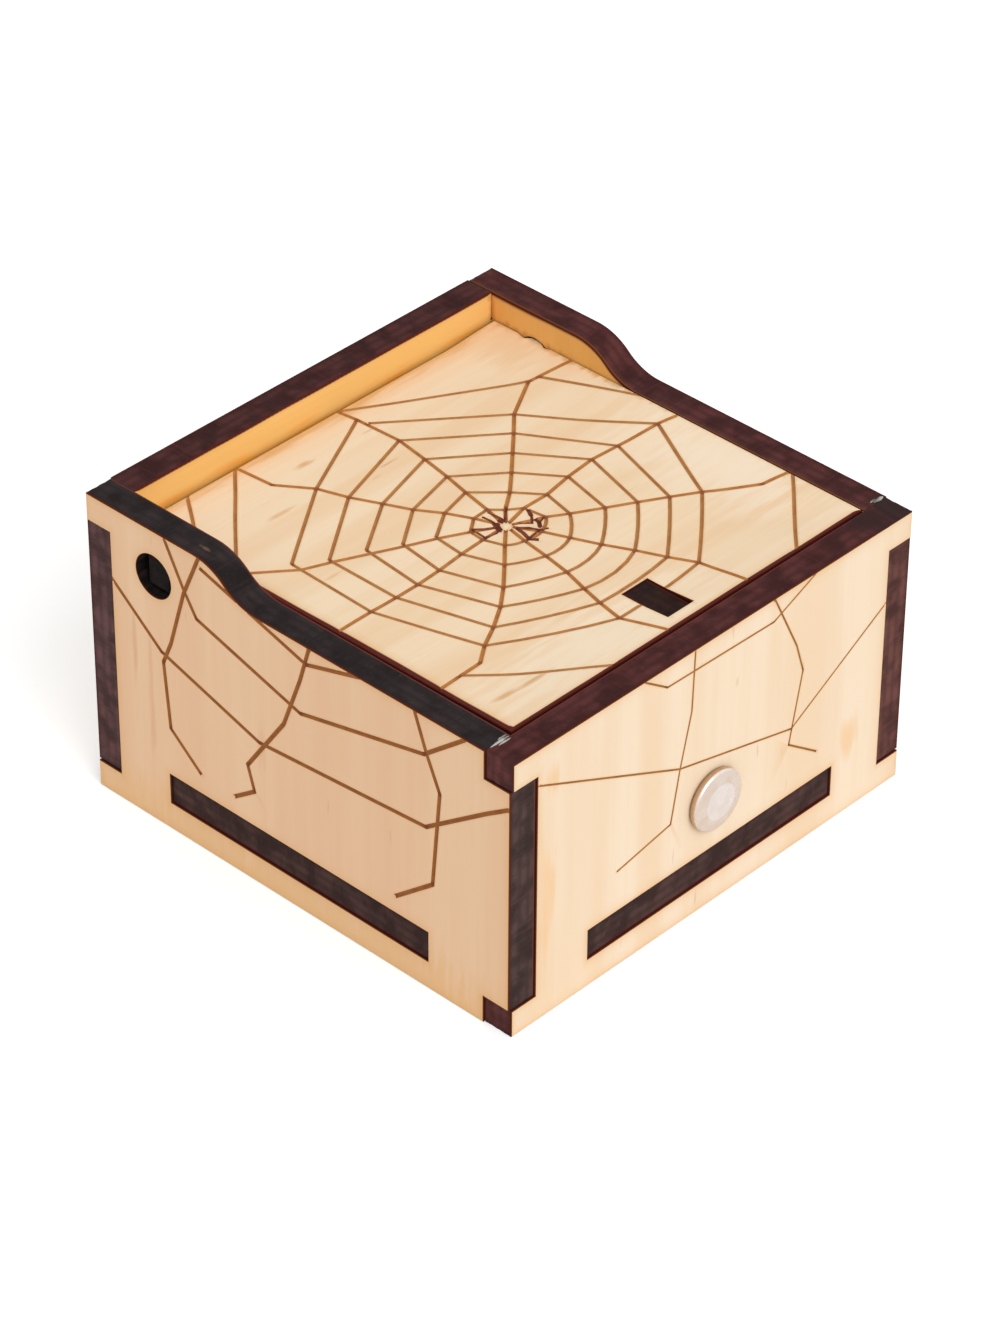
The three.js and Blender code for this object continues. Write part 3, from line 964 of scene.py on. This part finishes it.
# Ears: near-black all over, their char and the painted shade inside the hinge holes.
ear_soot_and_shade = (0.016, 0.012, 0.012)
ear_char_and_shade = charred_edge("ear_char_and_shade", ALONG_Z, ear_soot_and_shade, ear_soot_and_shade, ear_soot_and_shade, ear_soot_and_shade)
spoke_score = scored_line("spoke_score", (0.50, 0.21, 0.058), (0.27, 0.075, 0.026))
ring_score = scored_line("ring_score", (0.47, 0.215, 0.07), (0.27, 0.08, 0.03))
spider_score = scored_line("spider_score", (0.23, 0.065, 0.03), (0.12, 0.026, 0.014))
hub = np.array([-1.0, -1.2])
hub_gap = 1.1
ring_corners = [
    [(5.0, 0.3), (10.75, 0.25), (17.25, 1.35), (24.0, 2.0), (30.25, 1.6), (39.35, 0.75)],
    [(2.4, 2.2), (6.8, 5.3), (11.4, 9.25), (15.9, 13.25), (20.5, 17.35), (24.9, 21.4)],
    [(0.3, 4.5), (1.5, 10.75), (2.75, 16.4), (3.9, 22.9), (5.0, 30.15), (4.5, 40.0)],
    [(-3.2, 4.3), (-5.5, 9.0), (-8.5, 13.6), (-10.85, 18.6), (-13.5, 24.15), (-15.5, 30.0)],
    [(-6.5, 1.9), (-11.7, 5.0), (-17.1, 7.6), (-22.6, 10.85), (-29.0, 13.3), (-34.35, 17.0)],
    [(-6.7, -1.2), (-12.25, -1.5), (-18.25, -2.1), (-23.75, -2.4), (-28.9, -2.4), (-34.9, -2.3)],
    [(-5.3, -5.0), (-9.5, -8.9), (-14.35, -13.25), (-18.75, -16.75), (-23.75, -19.9), (-28.5, -22.4)],
    [(-2.0, -6.5), (-2.75, -12.15), (-3.75, -17.9), (-5.25, -23.25), (-6.4, -27.9), (-7.4, -33.25)],
    [(2.0, -6.7), (4.0, -11.4), (6.25, -16.6), (8.9, -21.85), (11.25, -27.1), (13.75, -32.0)],
    [(5.7, -4.25), (9.25, -6.5), (14.75, -9.65), (19.85, -12.5), (24.85, -15.4), (29.85, -18.4)],
]
spoke_ends = [
    [(45.0, -0.5)],
    [(34.0, 26.6), (45.0, 25.0)],
    [(3.7, 45.5)],
    [(-20.0, 36.3), (-20.8, 45.5)],
    [(-40.3, 19.3), (-45.0, 23.3)],
    [(-45.0, -2.6)],
    [(-32.5, -25.2), (-45.0, -26.1)],
    [(-4.2, -44.0)],
    [(15.2, -44.0)],
    [(38.1, -24.7), (45.0, -26.1)],
]
stays = [
    [(-20.9, 44.3), (-45.0, 19.8)],
    [(-32.0, 44.8), (-45.0, 28.4)],
    [(4.2, 44.0), (34.3, 26.6)],
    [(36.2, 26.2), (44.4, 6.9)],
    [(44.6, -25.8), (25.2, -44.0)],
    [(-37.9, -25.4), (-16.0, -44.0)],
]
spokes = []
for corners, ends in zip(ring_corners, spoke_ends):
    first = np.array(corners[0])
    start = hub + (first - hub) / np.hypot(*(first - hub)) * hub_gap
    spokes.append([tuple(start), *corners, *ends])
low_corners = [(-11.75, 4.6), (-17.25, 7.0), (-22.75, 9.6), (-28.9, 12.5), (-34.5, 14.75)]
spokes[4][2:7] = low_corners
side_bow = {
    6: [0.3, 0.3, 0.3, 0.4, 0.4, 0.5],
    7: [0.3, 0.6, 0.8, 1.2, 0.5, 0.4],
    8: [0.3, 0.3, 0.3, 0.3, 0.2, 0.2],
}
arc_steps = (0, 0.25, 0.5, 0.75, 1)
rings = []
for spoke, corners in enumerate(ring_corners):
    for number, corner in enumerate(corners):
        start = np.array(corner)
        end = np.array(ring_corners[(spoke + 1) % len(ring_corners)][number])
        if (spoke, number) == (1, 5):
            end = np.array((5.1, 37.8))
        outward = np.array((end[1] - start[1], start[0] - end[0])) / np.hypot(*(end - start))
        bow = side_bow.get(spoke, [0] * 6)[number]
        arc = [start + (end - start) * t + outward * bow * 4 * t * (1 - t) for t in arc_steps]
        rings.append(arc if bow else [start, end])
spider_legs = [
    [(-1.6, 0.8), (-1.9, 3.7)],
    [(0.1, 0.4), (-0.2, 3.9)],
    [(0.4, 0.4), (3.1, 2.6)],
    [(-2.3, -0.4), (-4.2, 0.8), (-5.8, 2.3)],
    [(-5.8, 2.3), (-6.0, -1.0), (-3.8, -1.5), (-2.7, -1.2)],
    [(1.2, -2.3), (2.7, -3.8), (4.2, -2.3)],
    [(5.6, -4.0), (3.8, -4.5)],
    [(-0.2, -2.8), (1.3, -4.3), (2.1, -6.0), (3.6, -6.9)],
    [(2.0, -6.1), (-0.8, -6.5)],
]
spider_joints = [
    [(5.3, -0.3), (4.2, -2.2)],
    [(4.0, -3.2), (3.7, -4.5), (2.8, -5.6)],
    [(-0.2, -2.8), (-0.5, -4.8), (-1.1, -6.7), (-0.1, -8.0)],
]
spider_body = [[(-1.6, 0.9), (-2.3, -0.4), (-2.7, -1.5)], [(0.1, 0.4), (-0.7, 0.7)]]
web_grooves = [
    (spokes, 0.74, 0.22),
    (stays + rings, 0.68, 0.2),
    (spider_legs, 0.5, 0.2),
    (spider_joints, 0.8, 0.25),
    (spider_body, 1.25, 0.3),
]
lid_finishes = [lid_veneer, lid_under, lid_char, spoke_score, ring_score, *[spider_score] * 3, ear_char_and_shade]
lid_board = cut_sheet("lid_board", "lid_panel", ALONG_Z, "high", lid_finishes, web_grooves, lid_smoke)


def bent(value, bend):
    """Soft rise from 0 to 1 over a bend's run."""
    start, run = bend
    rise = min(max((value - start) / run, 0), 1)
    return rise * rise * (3 - 2 * rise)


# The ears' faces, veneer tops included, take near-black finishes as painted shade inside the hinge holes:
# the left ear its own, the right ear the lid's char.
for face in lid_board.data.polygons:
    if face.center.x * 1000 < -ear_root:
        face.material_index = len(lid_finishes) - 1
    if face.center.x * 1000 > ear_root:
        face.material_index = 2
for spot in lid_board.data.vertices:
    x, y = spot.co.xy * 1000
    left = max(left_lift - left_slant * y, 0) * bent(-x, left_bend)
    lift = max(left, lid_lift * bent(x, right_bend), lid_lift * bent(-y, front_bend))
    aside = abs(y - ear_middle)
    room = math.sqrt(ear_radius**2 - min(aside, ear_reach) ** 2) - ear_half
    room += ear_slope * max(aside - ear_reach, 0) + lid_lift * (1 - bent(abs(x), ear_bend))
    spot.co.z += min(lift, room) / 1000
    spot.co.x += lid_shift / 1000 * bent(abs(x), side_bend)
    spot.co.y += rear_shift / 1000 * bent(y, rear_bend)
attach(lid_board, "lid")
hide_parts("lid_panel")


# Hook: plywood plate under the lid, its charred tenon glued through the lid and ending just below its top.
# Its barb lies under the bolt's tongue when the bolt is across.

hook_top = (0.026, 0.011, 0.009)
hook_end = (0.040, 0.018, 0.016)
tenon_sink = 0.1
tenon_band = 0.2
hook_veneer = birch_veneer("hook_birch", inner_pale, inner_deep, ALONG_Z, 3, inner_singe)
hook_char = charred_edge("hook_char", ALONG_X, hook_top, hook_end)
hook_board = cut_sheet("hook_board", "lid_hook", ALONG_X, "high", [hook_veneer, hook_veneer, hook_char])
tenon_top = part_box("lid_hook")[1].z
for spot in hook_board.data.vertices:
    if spot.co.z > tenon_top - tenon_band / 1000:
        spot.co.z -= tenon_sink / 1000
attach(hook_board, "lid")
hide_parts("lid_hook")


# Key magnet: nickel-plated disc with rounded rims, its face falling from a flat middle to the rim. It
# clings to the front wall by the magnet inside and is slid by hand to work the bolt.

key_profile = [
    *rounded_rim(6.0, 0.0, 0.6),
    *rounded_rim(6.0, 1.65, -0.6),
    (5.0, 1.73),
    (4.3, 1.9),
    (3.8, 1.98),
    (3.5, 2.0),
]
key_disc = turned_disc("key_disc", "key_magnet", key_profile, [nickel_rim, nickel_face])
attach(key_disc, "key")
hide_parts("key_magnet")


# Glue: dried white glue squeezed out of the seam where the front wall's top fingers meet the side walls,
# smeared along the seam as thin streaky crusts.

glue, glue_tree, glue_shader = new_finish("dried_glue")
streak = stretched_noise(glue_tree, (500, 2200, 2200), 3)
# Crust streaked from dark to pale; the pale streaks are partly painted highlights.
glue_dark = (0.13, 0.115, 0.10)
glue_pale_and_highlight = (0.56, 0.54, 0.50)
crust = tinted(glue_tree, share(glue_tree, streak, 0.38, 0.62), glue_dark, glue_pale_and_highlight)
glue_tree.links.new(crust, glue_shader.inputs["Base Color"])
glue_tree.links.new(share(glue_tree, streak, 0.3, 0.7, 0.35, 0.6), glue_shader.inputs["Roughness"])


def glue_smear(name, middle, length, width, height, seed):
    """Thin uneven crust lying on an edge; sizes in mm, middle on the surface below it."""
    draw = np.random.default_rng(seed)
    rings = 7
    around = 28
    ragged = 1 + 0.22 * (draw.random(around) - 0.5)
    ragged = (ragged + np.roll(ragged, 1)) / 2
    vertices = []
    for ring in range(1, rings + 1):
        share_out = ring / rings
        for spoke in range(around):
            angle = 2 * math.pi * spoke / around
            x = middle[0] + length / 2 * share_out * ragged[spoke] * math.cos(angle)
            y = middle[1] + width / 2 * share_out * ragged[spoke] * math.sin(angle)
            swell = height * (1 - share_out**2) ** 0.5 * (0.6 + 0.8 * draw.random())
            vertices.append((x / 1000, y / 1000, (middle[2] + swell) / 1000))
    vertices.append((middle[0] / 1000, middle[1] / 1000, (middle[2] + height) / 1000))
    top = len(vertices) - 1
    faces = [(top, spoke, (spoke + 1) % around) for spoke in range(around)]
    faces += ring_faces(rings, around)
    rim = (rings - 1) * around
    faces.append(tuple(rim + spoke for spoke in reversed(range(around))))
    return placed(name, smooth_mesh(name, vertices, faces, [glue]))


glue_height = 0.22
glue_sink = 0.05
front_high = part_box("front_wall")[1]
seam_y = front_high.y * 1000
edge_top = front_high.z * 1000
# name, place along the seam and beside it, length, width and seed of each smear
glue_spots = [
    ("glue_left_1", -46.4, 0.1, 4.2, 0.55, 5),
    ("glue_left_2", -45.9, -0.5, 3.2, 0.42, 8),
    ("glue_left_3", -45.3, 0.6, 2.2, 0.45, 3),
    ("glue_right_1", 48.2, 0.5, 2.4, 0.85, 4),
    ("glue_right_2", 47.2, 0.9, 1.5, 0.4, 9),
]
for name, x, beside, length, width, seed in glue_spots:
    middle = (x, seam_y + beside, edge_top - glue_sink)
    smear = glue_smear(name, middle, length, width, glue_height, seed)
    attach(smear, "box")


# Table: a plain white floor under a white surround, lit by one broad lamp from the front and an even fill.
# The camera sees the floor a little brighter than it is lit, so that it meets the white of the surround.

scene = bpy.context.scene
floor_half = 4.0
floor_mesh = bpy.data.meshes.new("floor")
floor_corners = [(-1, -1), (1, -1), (1, 1), (-1, 1)]
floor_mesh.from_pydata([(x * floor_half, y * floor_half, 0) for x, y in floor_corners], [], [(0, 1, 2, 3)])
floor = placed("floor", floor_mesh)
paper, paper_tree, paper_shader = new_finish("white_paper")
paper_shader.inputs["Base Color"].default_value = (0.9, 0.9, 0.9, 1.0)
paper_shader.inputs["Roughness"].default_value = 1.0
paper_shader.inputs["Specular IOR Level"].default_value = 0.0
paper_shader.inputs["Emission Color"].default_value = (1.0, 1.0, 1.0, 1.0)
seen = paper_tree.nodes.new("ShaderNodeLightPath")
floor_lift = 0.34
glow = combined(paper_tree, "MULTIPLY", seen.outputs["Is Camera Ray"], floor_lift)
paper_tree.links.new(glow, paper_shader.inputs["Emission Strength"])
floor_mesh.materials.append(paper)

surround = bpy.data.worlds.new("surround")
scene.world = surround
surround.use_nodes = True
sky = surround.node_tree
backdrop = sky.nodes["Background"]
backdrop.inputs["Color"].default_value = (1.0, 1.0, 1.0, 1.0)
ray = sky.nodes.new("ShaderNodeLightPath")
fill_level = 0.62
seen_level = 1.0
glossy = combined(sky, "MAXIMUM", ray.outputs["Is Camera Ray"], ray.outputs["Is Glossy Ray"])
clear_ray = combined(sky, "MAXIMUM", glossy, ray.outputs["Is Transmission Ray"])
level = sky.nodes.new("ShaderNodeMapRange")
level.inputs["To Min"].default_value = fill_level
level.inputs["To Max"].default_value = seen_level
sky.links.new(clear_ray, level.inputs["Value"])
sky.links.new(level.outputs["Result"], backdrop.inputs["Strength"])

lamp_light = bpy.data.lights.new("broad_lamp", "SUN")
lamp_light.energy = 1.5
lamp_light.angle = math.radians(40)
lamp = placed("broad_lamp", lamp_light)
lamp.rotation_euler = Vector((-0.2, -0.72, 0.66)).to_track_quat("Z", "Y").to_euler()

view = bpy.data.cameras.new("camera")
view.sensor_width = 36
view.lens = 138.19
view.clip_start = 0.01
view.clip_end = 50
camera = placed("camera", view)
camera.location = (-0.51690, -0.48627, 0.54877)
heading = Euler((math.radians(90 - 36.349), 0, math.radians(-46.693))).to_matrix()
camera.rotation_euler = (heading @ Matrix.Rotation(math.radians(0.365), 3, "Z")).to_euler()
scene.camera = camera
scene.view_settings.view_transform = "Standard"
